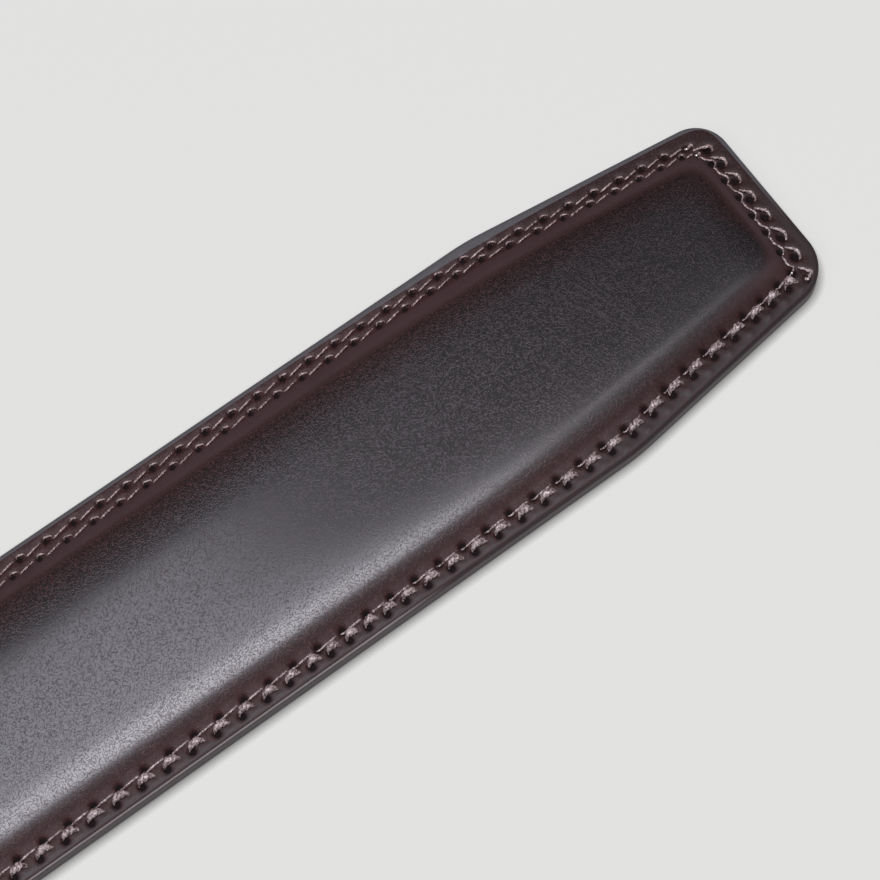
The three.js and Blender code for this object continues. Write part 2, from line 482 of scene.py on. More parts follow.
def stitch_marks(points, stitching):
    """How far the stitching lifts or sinks the leather, and how deep in a hole each point is."""
    lift = np.zeros(len(points))
    pit = np.zeros(len(points))
    marked = np.flatnonzero(points[:, 0] > -DETAIL_REACH)
    near = points[marked]
    which, hole = nearest(tree_of(stitching["holes"]), near)
    _, thread = nearest(tree_of(stitching["pressing"]), near)
    _, pucker = nearest(tree_of(stitching["puckers"]), near)
    depth = 1 / (1 + (hole / stitching["holes"][which, 2]) ** HOLE_STEEPNESS)
    lift[marked] = PUCKER_HEIGHT * bell(pucker, PUCKER_RADIUS) * (1 - depth)
    lift[marked] -= HOLE_DEPTH * depth + GROOVE_DEPTH * bell(thread, GROOVE_RADIUS)
    pit[marked] = depth
    return lift, pit


# Meshes

def add_mesh(name, points, faces, material, smooth=True):
    """A mesh object from plan points in millimetres."""
    placed = (np.asarray(points, float) + (TIP_X, 0, 0)) * MM
    mesh = bpy.data.meshes.new(name)
    mesh.from_pydata(placed.tolist(), [], [tuple(face) for face in faces])
    mesh.polygons.foreach_set("use_smooth", [smooth] * len(mesh.polygons))
    mesh.materials.append(material)
    piece = bpy.data.objects.new(name, mesh)
    bpy.context.scene.collection.objects.link(piece)
    return piece


def add_values(piece, name, values):
    """One number for each point of a mesh, for its material to read."""
    attribute = piece.data.attributes.new(name, "FLOAT", "POINT")
    attribute.data.foreach_set("value", np.asarray(values, np.float32))


def ring_faces(first, second, count):
    """Quads between two closed rings of points that start at two indices."""
    here = np.arange(count)
    following = (here + 1) % count
    return np.column_stack([first + here, first + following, second + following, second + here])


def gathered_faces(first, second, count):
    """Faces from a ring of points to one inside it with a third as many."""
    faces = []
    for group in range(count // GATHER):
        a = first + GATHER * group
        b, c = a + 1, a + 2
        d = first + GATHER * (group + 1) % count
        e = second + group
        f = second + (group + 1) % (count // GATHER)
        faces += [(a, b, e), (b, c, f, e), (c, d, f)]
    return faces


def patch_between(near, far, low_end, tip_end):
    """Points that fill a four-sided gap, row by row from its near side to its far side."""
    u = np.linspace(0, 1, len(low_end))[:, None, None]
    v = ((near[:, 0] - near[0, 0]) / (near[-1, 0] - near[0, 0]))[None, :, None]
    blend_across = (1 - u) * near[None] + u * far[None]
    blend_along = (1 - v) * low_end[:, None] + v * tip_end[:, None]
    corners = ((1 - u) * (1 - v) * near[0] + (1 - u) * v * near[-1]
               + u * (1 - v) * far[0] + u * v * far[-1])
    return blend_across + blend_along - corners


def filled_patch(ring, start, corner_spots, first_new):
    """New points and faces that fill the innermost ring of the crown."""
    near_start, near_tip, far_tip, far_start = corner_spots
    count = len(ring)
    near_ids = np.arange(near_start, near_tip + 1)
    tip_ids = np.arange(near_tip, far_tip + 1)
    far_ids = np.arange(far_tip, far_start + 1)[::-1]
    end_ids = np.arange(far_start, count + near_start + 1)[::-1] % count
    points = patch_between(ring[near_ids], ring[far_ids], ring[end_ids], ring[tip_ids])
    ids = np.empty(points.shape[:2], int)
    ids[0] = start + near_ids
    ids[-1] = start + far_ids
    ids[:, 0] = start + end_ids
    ids[:, -1] = start + tip_ids
    inner = points[1:-1, 1:-1].reshape(-1, 2)
    ids[1:-1, 1:-1] = first_new + np.arange(len(inner)).reshape(ids.shape[0] - 2, -1)
    faces = np.stack([ids[:-1, :-1], ids[:-1, 1:], ids[1:, 1:], ids[1:, :-1]], axis=-1)
    return inner, faces.reshape(-1, 4)


def shoulder_rings():
    """Inset and height of the rings up the face's rounded edge."""
    rings = [(inset, SEAM_HEIGHT + rise) for inset, rise in FACE_UNDER_EDGE]
    centre = MARGIN_HEIGHT - SHOULDER_RADIUS - MARGIN_SLOPE * CROWN_FOOT
    for angle in np.radians(np.arange(0, 90 + SHOULDER_STEP_DEGREES, SHOULDER_STEP_DEGREES)):
        rings.append((SHOULDER_RADIUS * (1 - math.cos(angle)), centre + SHOULDER_RADIUS * math.sin(angle)))
    return rings


def face_shares(end_x):
    """Shares along the six sides of the outer leather, from its near long side round."""
    long_side = long_side_shares(end_x)
    return [long_side, inner_shares(FACE_TAPER_PARTS), inner_shares(FACE_TIP_PARTS),
            inner_shares(FACE_TAPER_PARTS), 1 - long_side[::-1], inner_shares(FACE_CUT_END_PARTS)]


def patch_spots(corners, shares):
    """Where the innermost ring turns its four outer corners, from the near cut corner round."""
    bends = [corner.steps for corner in corners]
    steps = [len(side) + 1 for side in shares]
    to_near_tip = bends[0] + steps[0] + bends[1] + steps[1]
    to_far_tip = to_near_tip + bends[2] + steps[2]
    to_far_start = to_far_tip + bends[3] + steps[3] + bends[4] + steps[4]
    return [bends[0] // 2, to_near_tip + bends[2] // 2, to_far_tip + bends[3] // 2,
            to_far_start + bends[5] // 2]


def make_face(material, stitching):
    """The outer leather: rounded edge, stitched margin and padded middle in one closed mesh."""
    end_x = FACE_LOW[0] - TIP_X
    corners = strap_corners(end_x)
    shares = face_shares(end_x)
    coarse_corners = [corner._replace(steps=corner.steps // GATHER) for corner in corners]
    coarse_shares = [side[GATHER - 1::GATHER] for side in shares]

    edge = shoulder_rings()
    margin_insets = np.arange(edge[-1][0] + RING_STEP, MARGIN_RINGS_END + RING_STEP / 2, RING_STEP)
    fine_insets = [inset for inset, _ in edge] + list(margin_insets)
    plan = [outline(corners, shares, inset) for inset in fine_insets]
    plan += [outline(coarse_corners, coarse_shares, inset) for inset in CROWN_RING_INSETS]
    starts = np.cumsum([0] + [len(ring) for ring in plan]).tolist()
    total = starts.pop()

    faces = []
    count = len(plan[0])
    last_fine = len(fine_insets) - 1
    for i in range(last_fine):
        faces += ring_faces(starts[i], starts[i + 1], count).tolist()
    faces += gathered_faces(starts[last_fine], starts[last_fine + 1], count)
    for i in range(last_fine + 1, len(plan) - 1):
        faces += ring_faces(starts[i], starts[i + 1], count // GATHER).tolist()
    faces.append(list(range(count))[::-1])
    spots = patch_spots(coarse_corners, coarse_shares)
    inner, patch_faces = filled_patch(plan[-1], starts[-1], spots, total)
    faces += patch_faces.tolist()

    top = np.concatenate(plan[len(edge):] + [inner])
    lift, pit = stitch_marks(top, stitching)
    edge_heights = np.repeat([height for _, height in edge], count)
    heights = np.concatenate([edge_heights, smooth_height(top, corners) + lift])
    everything = np.concatenate(plan[:len(edge)] + [top])
    piece = add_mesh("leather_face", np.column_stack([everything, heights]), faces, material)
    inset = soft_inset(everything, corners)
    add_values(piece, "inset", inset)
    add_values(piece, "pit", np.concatenate([np.zeros(len(edge_heights)), pit]))
    add_values(piece, "calm", calm_strip(everything, inset))
    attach(piece, "root")
    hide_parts("strap_face")


def calm_strip(points, inset):
    """How smooth the leather is: a strip without grain inside the rows, not along the near side."""
    rise = np.clip((inset - CALM_START) / CALM_RISE, 0, 1)
    fall = np.clip((CALM_END - inset) / CALM_FALL, 0, 1)
    near = np.clip((CALM_NEAR_Y - points[:, 1]) / CALM_NEAR_FADE, 0, 1)
    return rise * fall * (1 - CALM_NEAR_LOSS * near)


def backing_rings():
    """Inset and height of the rings up the painted edge, from the underside to the hidden top."""
    return BACKING_LOWER_EDGE + [(inset, SEAM_HEIGHT + rise) for inset, rise in BACKING_UPPER_EDGE]


def make_backing(material):
    """The backing leather, with its painted edge and the slot that holds the track."""
    end_x = BACKING_LOW[0] - TIP_X
    corners = strap_corners(end_x)
    parts = [BACKING_LONG_PARTS, BACKING_TAPER_PARTS, BACKING_END_PARTS,
             BACKING_TAPER_PARTS, BACKING_LONG_PARTS, BACKING_END_PARTS]
    shares = [inner_shares(side) for side in parts]
    rings = backing_rings()
    plan = [outline(corners, shares, inset) for inset, _ in rings]
    count = len(plan[0])
    points = [np.column_stack([ring, np.full(count, height)])
              for ring, (_, height) in zip(plan, rings)]
    faces = []
    for i in range(len(rings) - 1):
        faces += ring_faces(i * count, (i + 1) * count, count).tolist()
    slot_low = TRACK_LOW[:2] - (TIP_X + TRACK_GAP, TRACK_GAP)
    slot_high = TRACK_HIGH[:2] + (TRACK_GAP - TIP_X, TRACK_GAP)
    slot = np.array([slot_low, (slot_high[0], slot_low[1]), slot_high, (slot_low[0], slot_high[1])])
    total = count * len(rings)
    for height in (0.0, SEAM_HEIGHT):
        points.append(np.column_stack([slot, np.full(len(slot), height)]))
    faces += ring_faces(total + len(slot), total, len(slot)).tolist()
    faces += holed_cap(plan[0], slot, 0, total, downwards=True)
    faces += holed_cap(plan[-1], slot, total - count, total + len(slot), downwards=False)
    piece = add_mesh("backing", np.concatenate(points), faces, material)
    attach(piece, "root")
    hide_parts("strap_backing")


def holed_cap(ring, hole, ring_start, hole_start, downwards):
    """Triangles that close a ring round a hole."""
    loops = [[Vector((x, y, 0)) for x, y in loop] for loop in (ring, hole)]
    ids = [*range(ring_start, ring_start + len(ring)), *range(hole_start, hole_start + len(hole))]
    flat = loops[0] + loops[1]
    faces = []
    for a, b, c in tessellate_polygon(loops):
        turn = (flat[b] - flat[a]).cross(flat[c] - flat[a]).z
        if (turn > 0) == downwards:
            b, c = c, b
        faces.append((ids[a], ids[b], ids[c]))
    return faces


def thread_tube(points, sides):
    """Points and faces of a plied thread along a path, closed at both ends."""
    path = points[:, :3]
    thread_radius = points[:, 3:]
    reach = np.concatenate([[0], np.cumsum(np.linalg.norm(np.diff(path, axis=0), axis=1))])
    tangent = np.gradient(path, axis=0)
    tangent /= np.linalg.norm(tangent, axis=1, keepdims=True)
    aside = np.cross(tangent, (0, 0, 1))
    aside /= np.linalg.norm(aside, axis=1, keepdims=True)
    over = np.cross(aside, tangent)
    spoke = 2 * math.pi * np.arange(sides) / sides
    turn = spoke[None] + 2 * math.pi * reach[:, None] / THREAD_TWIST
    radius = thread_radius * (1 + THREAD_LOBE * np.cos(THREAD_PLIES * spoke))
    ring = (path[:, None] + (radius * np.cos(turn))[..., None] * aside[:, None]
            + (radius * np.sin(turn))[..., None] * over[:, None])
    faces = []
    for i in range(len(path) - 1):
        faces.append(ring_faces(i * sides, (i + 1) * sides, sides))
    last = (len(path) - 1) * sides
    caps = [list(range(sides))[::-1], list(range(last, last + sides))]
    return ring.reshape(-1, 3), np.concatenate(faces).tolist() + caps


def make_threads(name, paths, sides, material):
    """All the threads of one stretch as one mesh."""
    points, faces, total = [], [], 0
    for path in paths:
        tube, tube_faces = thread_tube(path, sides)
        faces += [[i + total for i in face] for face in tube_faces]
        points.append(tube)
        total += len(tube)
    piece = add_mesh(name, np.concatenate(points), faces, material)
    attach(piece, "root")


def on_leather(points, corners):
    """Thread points raised from heights over the leather to heights over the floor."""
    base = smooth_height(points[:, :2], corners)
    return np.column_stack([points[:, :2], base + points[:, 2], points[:, 3]])


def with_radius(places, radius):
    return np.column_stack([places, np.full(len(places), radius)])


def plan_stitching():
    """Every hole, the thread's paths by stretch, and where the leather puckers."""
    end_x = FACE_LOW[0] - TIP_X
    seam_end = BACKING_LOW[0] - TIP_X + SEAM_END_GAP
    corners = strap_corners(end_x)
    holes, puckers, fine, plain = [], [], [], []
    for name, row in ROWS.items():
        places = np.concatenate([[CORNER_HOLES[name]], row_holes(row, seam_end)])[::-1]
        first_fine = np.flatnonzero(places[:, 0] > -DETAIL_REACH)[0]
        across = np.array([0.0, 1.0])
        for part, kept in ((places[:first_fine + 1], plain), (places[first_fine:], fine)):
            kept.append(wave_points(part, across, row.wave, row.thread_radius))
        holes.append(with_radius(places, row.hole_radius))
        if name == "near_outer":
            middles = (places[1:] + places[:-1]) / 2
            puckers.append(middles + (0, row.side * PUCKER_OFFSET))
    across = np.array([1.0, 0.0])
    for places_at_tip, layer, wave, thread_radius in (
            (TIP_OUTER, "outer", TIP_OUTER_WAVE, TIP_OUTER_RADIUS),
            (TIP_INNER, "inner", TIP_INNER_WAVE, TIP_INNER_RADIUS)):
        places = np.array([CORNER_HOLES["far_" + layer], *places_at_tip, CORNER_HOLES["near_" + layer]])
        fine.append(wave_points(places, across, wave, thread_radius))
        holes.append(with_radius(places, TIP_HOLE_RADIUS))
    fine = [smooth_path(path, THREAD_STEP) for path in fine]
    pressing = [path[path[:, 2] > PRESSING_DEPTH, :2] for path in fine]
    return {
        "holes": np.concatenate(holes),
        "puckers": np.concatenate(puckers),
        "pressing": np.concatenate(pressing),
        "fine": [on_leather(path, corners) for path in fine],
        "plain": [on_leather(path, corners) for path in plain],
    }


# Faces of an octahedron whose points are each axis's two ends in turn
OCTAHEDRON = [(0, 2, 4), (2, 1, 4), (1, 3, 4), (3, 0, 4), (2, 0, 5), (1, 2, 5), (3, 1, 5), (0, 3, 5)]


def make_hole_glints(material):
    """Pale painted glints down in the four corner holes."""
    corners = strap_corners(FACE_LOW[0] - TIP_X)
    places = np.array(list(CORNER_HOLES.values()))
    heights = smooth_height(places, corners) + GLINT_HEIGHT
    points, faces = [], []
    for (x, y), z in zip(places, heights):
        start = len(points)
        for axis in np.eye(3):
            points.append((x, y, z) + GLINT_RADIUS * axis)
            points.append((x, y, z) - GLINT_RADIUS * axis)
        faces += [(start + a, start + b, start + c) for a, b, c in OCTAHEDRON]
    piece = add_mesh("hole_glints", points, faces, material)
    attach(piece, "root")


def make_far_hole_shades(holes, material):
    """Shallow cups of painted shade at the holes of the plain stretch, whose mesh has none of its own."""
    corners = strap_corners(FACE_LOW[0] - TIP_X)
    cups = holes[holes[:, 0] <= -DETAIL_REACH]
    height = smooth_height(cups[:, :2], corners)
    spokes = 2 * math.pi * np.arange(CUP_SPOKES) / CUP_SPOKES
    points, faces = [], []
    for (x, y, radius), z in zip(cups, height):
        start = len(points)
        for share, rise in CUP_RINGS:
            reach = radius * share
            points += [(x + reach * math.cos(a), y + reach * math.sin(a), z + rise) for a in spokes]
        inner_ring = len(points) - CUP_SPOKES
        for ring in range(start, inner_ring, CUP_SPOKES):
            faces += ring_faces(ring, ring + CUP_SPOKES, CUP_SPOKES).tolist()
        faces.append(list(range(inner_ring, inner_ring + CUP_SPOKES)))
        faces.append(list(range(start, start + CUP_SPOKES))[::-1])
    piece = add_mesh("stitch_hole_shades", points, faces, material)
    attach(piece, "root")


# Materials

# The sockets that a mix node has for colours
MIX_FACTOR = 0
MIX_FIRST = 6
MIX_SECOND = 7
MIX_RESULT = 2

# Where the outer leather changes its look, in plan y, in plan x and in insets
FAR_SIDE_Y = (-6.0, 4.0)
# Where the crown's polish wears off and its colour takes a painted shade, towards the tip
WEAR_AND_SHADE_X = (-55.0, -12.0)
RIM_X = (-74.0, -62.0)
PAINT_AND_SHEEN_INSETS = (0.72, 0.62)
RIM_INSETS = (0.17, 0.12)
OUTERMOST_INSETS = (1.7, 0.9)
SLOPE_INSETS = (2.2, 3.4)
VALLEY_INSETS = (3.0, 5.5)
POLISH_FROM = 3.6

# Insets that differ from the near side to the far side
TONE_STARTS = (4.4, 5.5)
TONE_ENDS = (6.6, 11.5)
POLISH_ENDS = (4.9, 6.0)

# Colours of the outer leather
MARGIN_BROWN = (0.0235, 0.0084, 0.0077, 1)
SLOPE_RED = (0.0235, 0.0066, 0.0068, 1)
CROWN_DARK = (0.0092, 0.0061, 0.0071, 1)
CALM_BROWN = (0.028, 0.0158, 0.0165, 1)
# Painted reflection: the near side's outermost margin lighter and greyer
NEAR_MARGIN_REFLECTION = (0.036, 0.029, 0.029, 1)
MOTTLE_BROWN = (0.016, 0.0062, 0.0068, 1)
# Painted highlight on the grain's ridges, at the margins and on the crown
MARGIN_RIDGE_HIGHLIGHT = (0.032, 0.0135, 0.0135, 1)
CROWN_RIDGE_HIGHLIGHT = (0.025, 0.019, 0.0215, 1)
# Painted highlight: a thin light line along the top of the near edge, away from the tip
RIM_HIGHLIGHT_GREY = (0.15, 0.135, 0.13, 1)
# Edge paint on the far shoulder only; its grey is partly a painted sheen where the shoulder catches the
# light
EDGE_PAINT_AND_SHEEN = (0.042, 0.040, 0.042, 1)
# Painted shade deep in the stitch holes
PIT_SHADE = (0.0035, 0.0012, 0.0014, 1)

# How strongly the outer leather's looks show
CALM_SHARE = 0.9
VEIN_SHARE = 0.6
MOTTLE_SHARE = 0.3
# VALLEY_SHADES darken the grain's valleys as painted shade
VALLEY_SHADES = (0.6, 0.25)
TIP_WEAR = 0.3
TIP_SHADE = 0.7
COAT_ON_VALLEYS = 0.85
COAT_ON_RIDGES = 0.17
COAT_ROUGHNESS = 0.16
GRAIN_RELIEF = 0.006

# The maze of the grain, as noise
GRAIN_SCALE = 2.9
GRAIN_DETAIL = 0.8
GRAIN_BEND = 0.2
GRAIN_SHARPNESS = 14.0
GRAIN_LEVEL = 0.3
GRIT_SCALE = 6.0
GRIT_SHARE = 0.6
RIDGE_LEVELS = (0.27, 0.8)

# The fan of wrinkles: how wide it is and where its left edge lies, at its near and its far end in plan y;
# where it fades at its ends and, as shares of its width, at its sides; and how its lines run and break
VEIN_Y = (-10.0, 8.0)
VEIN_LEFT = (-25.2, -32.5)
VEIN_WIDTH = (1.7, 7.9)
VEIN_NEAR_FADE = (-9.5, -7.5)
VEIN_FAR_FADE = (8.0, 4.0)
VEIN_LEFT_FADE = (-0.3, 0.0)
VEIN_RIGHT_FADE = (1.3, 1.0)
VEIN_COUNT = 5
VEIN_SWAY = 0.35
VEIN_LEVELS = (0.55, 1.0)
VEIN_BREAKS = (0.37, 0.5)


def node(tree, kind, inputs=None, **properties):
    """A new node; each input takes a value or is linked to an output."""
    made = tree.nodes.new(kind)
    for key, value in properties.items():
        setattr(made, key, value)
    for key, value in (inputs or {}).items():
        if isinstance(value, bpy.types.NodeSocket):
            tree.links.new(value, made.inputs[key])
        else:
            made.inputs[key].default_value = value
    return made


def calc(tree, operation, *values):
    return node(tree, "ShaderNodeMath", dict(enumerate(values)), operation=operation).outputs[0]


def times(tree, first, second):
    return calc(tree, "MULTIPLY", first, second)


def spread(tree, share, low, high):
    """A value that goes from low to high as a share goes from 0 to 1."""
    return calc(tree, "MULTIPLY_ADD", share, high - low, low)


def window(tree, value, low, high, to_low=0.0, to_high=1.0):
    """A smooth step of value from low to high."""
    inputs = {"Value": value, "From Min": low, "From Max": high, "To Min": to_low, "To Max": to_high}
    return node(tree, "ShaderNodeMapRange", inputs, interpolation_type="SMOOTHSTEP").outputs[0]


def mixed(tree, factor, first, second):
    """A colour between two colours."""
    inputs = {MIX_FACTOR: factor, MIX_FIRST: first, MIX_SECOND: second}
    return node(tree, "ShaderNodeMix", inputs, data_type="RGBA").outputs[MIX_RESULT]


def vector_calc(tree, operation, inputs):
    return node(tree, "ShaderNodeVectorMath", inputs, operation=operation).outputs[0]


def scaled(tree, vector, factor):
    """A vector made longer or shorter, or a colour made lighter or darker."""
    return vector_calc(tree, "SCALE", {0: vector, "Scale": factor})


def value_of(tree, name):
    return node(tree, "ShaderNodeAttribute", attribute_name=name).outputs["Fac"]


def plan_place(tree):
    """The shaded point in millimetres, with x measured from the tip."""
    place = node(tree, "ShaderNodeTexCoord").outputs["Object"]
    return vector_calc(tree, "ADD", {0: scaled(tree, place, 1 / MM), 1: (-TIP_X, 0, 0)})


def plan_xy(tree, place):
    """Plan x and y of the shaded point."""
    split = node(tree, "ShaderNodeSeparateXYZ", {0: place})
    return split.outputs[0], split.outputs[1]


def noise(tree, place, scale, detail=2.0, roughness=0.5, distortion=0.0):
    inputs = {"Vector": place, "Scale": scale, "Detail": detail, "Roughness": roughness,
              "Distortion": distortion}
    return node(tree, "ShaderNodeTexNoise", inputs).outputs["Fac"]


def new_material(name):
    material = bpy.data.materials.new(name)
    material.use_nodes = True
    tree = material.node_tree
    return material, tree, tree.nodes["Principled BSDF"]


def add_relief(tree, shader, height, strength, distance):
    """A fine relief in the way the surface faces, its distance in millimetres."""
    inputs = {"Height": height, "Strength": strength, "Distance": distance * MM}
    facing = node(tree, "ShaderNodeBump", inputs).outputs[0]
    tree.links.new(facing, shader.inputs["Normal"])
    return facing


def ridge(tree, value, sharpness):
    """Thin ridges where a noise passes its middle."""
    off = calc(tree, "ABSOLUTE", calc(tree, "SUBTRACT", value, 0.5))
    return calc(tree, "SUBTRACT", 1.0, times(tree, off, sharpness))


def vein_lines(tree, place):
    """A fan of fine wrinkles that closes towards the near side, 25 to 32 mm from the tip."""
    x, y = plan_xy(tree, place)
    share = window(tree, y, *VEIN_Y)
    left = spread(tree, share, *VEIN_LEFT)
    width = spread(tree, share, *VEIN_WIDTH)
    sway = noise(tree, place, 0.35, 1.0)
    across = calc(tree, "DIVIDE", calc(tree, "SUBTRACT", x, left), width)
    swayed = calc(tree, "MULTIPLY_ADD", sway, VEIN_SWAY, across)
    wave = calc(tree, "SINE", times(tree, swayed, 2 * math.pi * VEIN_COUNT))
    line = window(tree, wave, *VEIN_LEVELS)
    inside = times(tree, window(tree, across, *VEIN_LEFT_FADE), window(tree, across, *VEIN_RIGHT_FADE))
    ends = times(tree, window(tree, y, *VEIN_NEAR_FADE), window(tree, y, *VEIN_FAR_FADE))
    broken = window(tree, noise(tree, place, 0.6, 1.0), *VEIN_BREAKS)
    return times(tree, times(tree, line, broken), times(tree, inside, ends))


def grain_ridges(tree, place):
    """How much each point is on one of the fine wavy ridges, which run like a maze."""
    maze = ridge(tree, noise(tree, place, GRAIN_SCALE, GRAIN_DETAIL, 0.5, GRAIN_BEND), GRAIN_SHARPNESS)
    grit = noise(tree, place, GRIT_SCALE, 1.0)
    return calc(tree, "MULTIPLY_ADD", grit, GRIT_SHARE, calc(tree, "SUBTRACT", maze, GRAIN_LEVEL))


def tone_and_reflection(tree, inset, far_side, near_side):
    """The outer leather's colour from its edge to its crown, with a painted reflection on the near margin,
    and how far on the crown each point is.
    """
    # Painted reflection: the near side's outermost margin turns grey
    near_reflection = times(tree, near_side, window(tree, inset, *OUTERMOST_INSETS))
    edge = mixed(tree, near_reflection, MARGIN_BROWN, NEAR_MARGIN_REFLECTION)
    slope = mixed(tree, window(tree, inset, *SLOPE_INSETS), edge, SLOPE_RED)
    tone_start = spread(tree, far_side, *TONE_STARTS)
    tone_end = spread(tree, far_side, *TONE_ENDS)
    on_crown = window(tree, inset, tone_start, tone_end)
    return mixed(tree, on_crown, slope, CROWN_DARK), on_crown


def face_leather():
    """Dark brown leather with ridges of grain, and a polish on its crown that shows between them. Its
    colour also carries painted light: highlights, reflections and shade.
    """
    material, tree, shader = new_material("face_leather")
    place = plan_place(tree)
    x, y = plan_xy(tree, place)
    inset = value_of(tree, "inset")
    pit = value_of(tree, "pit")
    calm = value_of(tree, "calm")
    far_side = window(tree, y, *FAR_SIDE_Y)
    near_side = calc(tree, "SUBTRACT", 1.0, far_side)
    # Edge paint with a painted sheen, on the far shoulder only
    paint_and_sheen = times(tree, window(tree, inset, *PAINT_AND_SHEEN_INSETS), far_side)
    smooth = calc(tree, "MAXIMUM", paint_and_sheen, times(tree, calm, CALM_SHARE))
    rugged = calc(tree, "SUBTRACT", 1.0, smooth)
    cloudy = noise(tree, place, 0.12, 3.0)
    veins = times(tree, vein_lines(tree, place), VEIN_SHARE)
    ridges = calc(tree, "MAXIMUM", grain_ridges(tree, place), veins)
    ridged = window(tree, ridges, *RIDGE_LEVELS)

    tone, on_crown = tone_and_reflection(tree, inset, far_side, near_side)
    calmed = mixed(tree, calm, tone, CALM_BROWN)
    mottle = window(tree, cloudy, 0.35, 0.75, 0.0, MOTTLE_SHARE)
    mottled = mixed(tree, mottle, calmed, MOTTLE_BROWN)
    # Painted highlight on the grain's ridges and painted shade in its valleys
    ridge_highlight = mixed(tree, on_crown, MARGIN_RIDGE_HIGHLIGHT, CROWN_RIDGE_HIGHLIGHT)
    valley_shade = scaled(tree, mottled, window(tree, inset, *VALLEY_INSETS, *VALLEY_SHADES))
    grain_highlight_and_shade = mixed(tree, ridged, valley_shade, ridge_highlight)
    # Painted shade: the colour darker towards the tip
    shaded = scaled(tree, grain_highlight_and_shade, window(tree, x, *WEAR_AND_SHADE_X, 1.0, TIP_SHADE))
    grained = mixed(tree, rugged, mottled, shaded)
    # Painted highlight along the top of the near edge
    straight = times(tree, near_side, window(tree, x, *RIM_X, 1.0, 0.0))
    rim_highlight = times(tree, straight, window(tree, inset, *RIM_INSETS))
    lined = mixed(tree, rim_highlight, grained, RIM_HIGHLIGHT_GREY)
    edged = mixed(tree, paint_and_sheen, lined, EDGE_PAINT_AND_SHEEN)
    # Painted shade: the colour darkens deep in the stitch holes
    colour = mixed(tree, window(tree, pit, 0.12, 0.55), edged, PIT_SHADE)
    tree.links.new(colour, shader.inputs["Base Color"])

    rough = calc(tree, "MAXIMUM", spread(tree, cloudy, 0.5, 0.56), window(tree, pit, 0.1, 0.5, 0.0, 0.95))
    tree.links.new(rough, shader.inputs["Roughness"])
    shader.inputs["Specular IOR Level"].default_value = 0.15
    coat = spread(tree, ridged, COAT_ON_VALLEYS, COAT_ON_RIDGES)
    worn = window(tree, x, *WEAR_AND_SHADE_X, 1.0, TIP_WEAR)
    on_padding = window(tree, inset, POLISH_FROM, spread(tree, far_side, *POLISH_ENDS))
    polish = times(tree, times(tree, on_padding, worn), coat)
    tree.links.new(polish, shader.inputs["Coat Weight"])
    shader.inputs["Coat Roughness"].default_value = COAT_ROUGHNESS

    facing = add_relief(tree, shader, times(tree, ridged, rugged), 1.0, GRAIN_RELIEF)
    tree.links.new(facing, shader.inputs["Coat Normal"])
    return material


def backing_leather():
    """Plain dark split leather, its edge painted to match."""
    material, tree, shader = new_material("backing_leather")
    place = plan_place(tree)
    cloudy = noise(tree, place, 0.3, 3.0)
    dark, light = (0.033, 0.022, 0.025, 1), (0.050, 0.033, 0.038, 1)
    colour = mixed(tree, window(tree, cloudy, 0.3, 0.7), dark, light)
    tree.links.new(colour, shader.inputs["Base Color"])
    tree.links.new(spread(tree, cloudy, 0.45, 0.57), shader.inputs["Roughness"])
    fibres = noise(tree, place, 3.0, 4.0, 0.6)
    add_relief(tree, shader, fibres, 0.35, 0.05)
    return material


def thread_material():
    """Waxed brown thread with fine fibres, paler on the near side as painted light."""
    material, tree, shader = new_material("thread")
    place = plan_place(tree)
    shade = noise(tree, place, 1.3, 2.0)
    fibres = noise(tree, place, 4.5, 2.0)
    fuzz = calc(tree, "MULTIPLY_ADD", fibres, 0.7, times(tree, shade, 0.3))
    _, y = plan_xy(tree, place)
    # Painted light: the one thread is paler on the lit near side and dimmer on the far side
    dark, near, far = (0.035, 0.016, 0.015, 1), (0.26, 0.215, 0.21, 1), (0.22, 0.165, 0.155, 1)
    side_lit_strand = mixed(tree, window(tree, y, *FAR_SIDE_Y), near, far)
    colour = mixed(tree, window(tree, fuzz, 0.36, 0.64), dark, side_lit_strand)
    tree.links.new(colour, shader.inputs["Base Color"])
    shader.inputs["Roughness"].default_value = 0.4
    add_relief(tree, shader, fibres, 0.5, 0.04)
    return material


def glint_material():
    """A pale glossy colour for the painted glints in the corner holes."""
    material, tree, shader = new_material("hole_glint")
    shade = noise(tree, plan_place(tree), 3.0)
    dark, light = (0.55, 0.50, 0.46, 1), (0.80, 0.76, 0.72, 1)
    tree.links.new(mixed(tree, shade, dark, light), shader.inputs["Base Color"])
    shader.inputs["Roughness"].default_value = 0.3
    return material


def hole_shade_material():
    """Painted shade for the inside of a stitch hole."""
    material, tree, shader = new_material("hole_shade")
    shade = noise(tree, plan_place(tree), 4.0)
    dark, light = (0.002, 0.0012, 0.0012, 1), (0.005, 0.003, 0.003, 1)
    tree.links.new(mixed(tree, shade, dark, light), shader.inputs["Base Color"])
    shader.inputs["Roughness"].default_value = 0.9
    shader.inputs["Specular IOR Level"].default_value = 0.1
    return material


def buckle_metal():
    """Satin metal, brushed along the strap."""
    material, tree, shader = new_material("buckle_metal")
    place = plan_place(tree)
    stretched = vector_calc(tree, "MULTIPLY", {0: place, 1: (0.15, 6.0, 6.0)})
    brushed = noise(tree, stretched, 1.0, 4.0, 0.6)
    cloudy = noise(tree, place, 0.15, 2.0)
    dark, light = (0.36, 0.36, 0.37, 1), (0.46, 0.46, 0.475, 1)
    tree.links.new(mixed(tree, cloudy, dark, light), shader.inputs["Base Color"])
    shader.inputs["Metallic"].default_value = 1.0
    tree.links.new(spread(tree, brushed, 0.26, 0.44), shader.inputs["Roughness"])
    add_relief(tree, shader, brushed, 0.2, 0.02)
    return material


